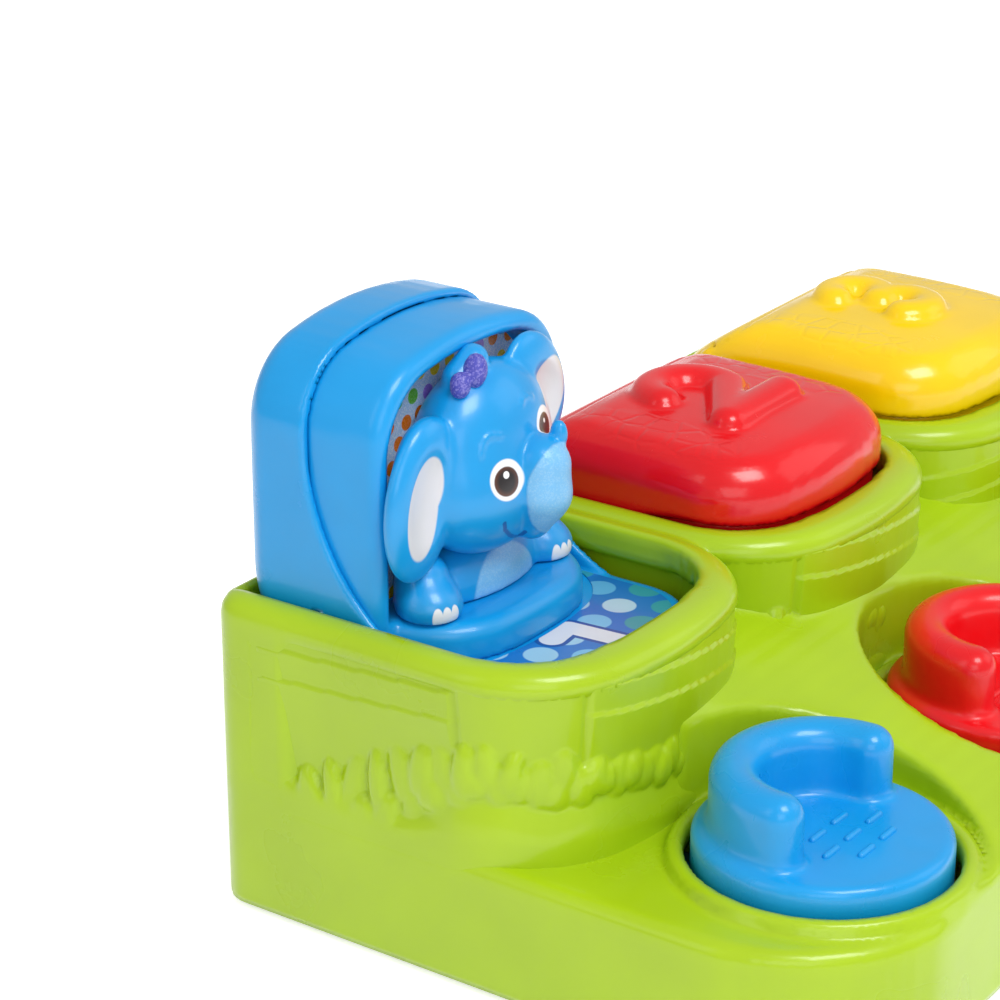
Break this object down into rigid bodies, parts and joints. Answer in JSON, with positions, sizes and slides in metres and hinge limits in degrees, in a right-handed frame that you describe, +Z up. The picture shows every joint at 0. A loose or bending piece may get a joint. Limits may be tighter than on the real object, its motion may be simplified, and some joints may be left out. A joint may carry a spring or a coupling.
{
  "type": "pop up animal toy",
  "caption": "Row of spring-loaded lids in one moulded base, each popping up an animal figure when the round pad in front of it is pressed.",
  "frame": {"origin": "middle of the object's box, on the surface that it stands on", "axes": "+X along the row of lids to the child's right, +Y to the back, where the hinges are, +Z up"},
  "size_m": [0.302, 0.188, 0.1541],
  "materials": {
    "housing_plastic": "moulded, smooth gloss",
    "cover_plastic": "moulded, fine matte",
    "blue_plastic": "moulded, smooth gloss",
    "red_plastic": "moulded, smooth gloss",
    "yellow_plastic": "moulded, smooth gloss",
    "elephant_blue": "soft gloss with painted details",
    "bear_brown": "soft gloss with painted details",
    "lion_gold": "soft gloss with painted details",
    "printed_sheet": "printed dots under film",
    "inner_plastic": "unpolished moulding",
    "screw_steel": "zinc plated",
    "spring_steel": "drawn wire",
    "foot_rubber": "soft, matt"
  },
  "bodies": {
    "base": {"top_housing": "housing_plastic", "bottom_cover": "cover_plastic", "case_screws": "screw_steel", "rubber_feet": "foot_rubber", "hinge_pin_1": "screw_steel", "hinge_spring_1": "spring_steel", "activator_pin_1": "screw_steel", "activator_spring_1": "spring_steel", "latch_pin_1": "screw_steel", "latch_spring_1": "spring_steel", "hinge_pin_2": "screw_steel", "hinge_spring_2": "spring_steel", "activator_pin_2": "screw_steel", "activator_spring_2": "spring_steel", "latch_pin_2": "screw_steel", "latch_spring_2": "spring_steel", "hinge_pin_3": "screw_steel", "hinge_spring_3": "spring_steel", "activator_pin_3": "screw_steel", "activator_spring_3": "spring_steel", "latch_pin_3": "screw_steel", "latch_spring_3": "spring_steel"},
    "lid_1": {"lid_shell_1": "blue_plastic", "lid_frame_1": "blue_plastic", "backdrop_sticker_1": "printed_sheet", "floor_sticker_1": "printed_sheet", "elephant_head_1": "elephant_blue", "elephant_body_1": "elephant_blue", "lid_screws_1": "screw_steel"},
    "activator_1": {"activator_1": "blue_plastic"},
    "latch_1": {"latch_1": "inner_plastic"},
    "lid_2": {"lid_shell_2": "red_plastic", "lid_frame_2": "red_plastic", "backdrop_sticker_2": "printed_sheet", "floor_sticker_2": "printed_sheet", "bear_head_2": "bear_brown", "bear_body_2": "bear_brown", "lid_screws_2": "screw_steel"},
    "activator_2": {"activator_2": "red_plastic"},
    "latch_2": {"latch_2": "inner_plastic"},
    "lid_3": {"lid_shell_3": "yellow_plastic", "lid_frame_3": "yellow_plastic", "backdrop_sticker_3": "printed_sheet", "floor_sticker_3": "printed_sheet", "lion_head_3": "lion_gold", "lion_body_3": "lion_gold", "lid_screws_3": "screw_steel"},
    "activator_3": {"activator_3": "yellow_plastic"},
    "latch_3": {"latch_3": "inner_plastic"}
  },
  "joints": [
    {"name": "lid_1_hinge", "type": "hinge", "parent": "base", "child": "lid_1", "pos_m": [-0.1, 0.06725, 0.0835], "axis": [1, 0, 0], "range_deg": [0, 90], "stiffness_Nm_per_rad": 0.03, "springref_deg": -148.97},
    {"name": "activator_1_press", "type": "hinge", "parent": "base", "child": "activator_1", "pos_m": [-0.1, -0.034, 0.0372], "axis": [1, 0, 0], "range_deg": [0, 7.5], "stiffness_Nm_per_rad": 0.2, "springref_deg": -11.46, "deforming": ["activator_spring_1"]},
    {"name": "latch_1_rock", "type": "hinge", "parent": "base", "child": "latch_1", "pos_m": [-0.1, 0.048, 0.011], "axis": [1, 0, 0], "range_deg": [-12, 0], "deforming": ["latch_spring_1"]},
    {"name": "lid_2_hinge", "type": "hinge", "parent": "base", "child": "lid_2", "pos_m": [0, 0.06725, 0.0835], "axis": [1, 0, 0], "range_deg": [-90, 0]},
    {"name": "activator_2_press", "type": "hinge", "parent": "base", "child": "activator_2", "pos_m": [0, -0.034, 0.0372], "axis": [1, 0, 0], "range_deg": [0, 7.5], "stiffness_Nm_per_rad": 0.2, "springref_deg": -11.46, "deforming": ["activator_spring_2"]},
    {"name": "latch_2_rock", "type": "hinge", "parent": "base", "child": "latch_2", "pos_m": [0, 0.048, 0.011], "axis": [1, 0, 0], "range_deg": [-12, 0], "deforming": ["latch_spring_2"]},
    {"name": "lid_3_hinge", "type": "hinge", "parent": "base", "child": "lid_3", "pos_m": [0.1, 0.06725, 0.0835], "axis": [1, 0, 0], "range_deg": [-90, 0]},
    {"name": "activator_3_press", "type": "hinge", "parent": "base", "child": "activator_3", "pos_m": [0.1, -0.034, 0.0372], "axis": [1, 0, 0], "range_deg": [0, 7.5], "stiffness_Nm_per_rad": 0.2, "springref_deg": -11.46, "deforming": ["activator_spring_3"]},
    {"name": "latch_3_rock", "type": "hinge", "parent": "base", "child": "latch_3", "pos_m": [0.1, 0.048, 0.011], "axis": [1, 0, 0], "range_deg": [-12, 0], "deforming": ["latch_spring_3"]}
  ],
  "couplings": [
    {"joint": "latch_1_rock", "follows": "activator_1_press", "ratio": -1.45},
    {"joint": "latch_2_rock", "follows": "activator_2_press", "ratio": -1.45},
    {"joint": "latch_3_rock", "follows": "activator_3_press", "ratio": -1.45}
  ]
}
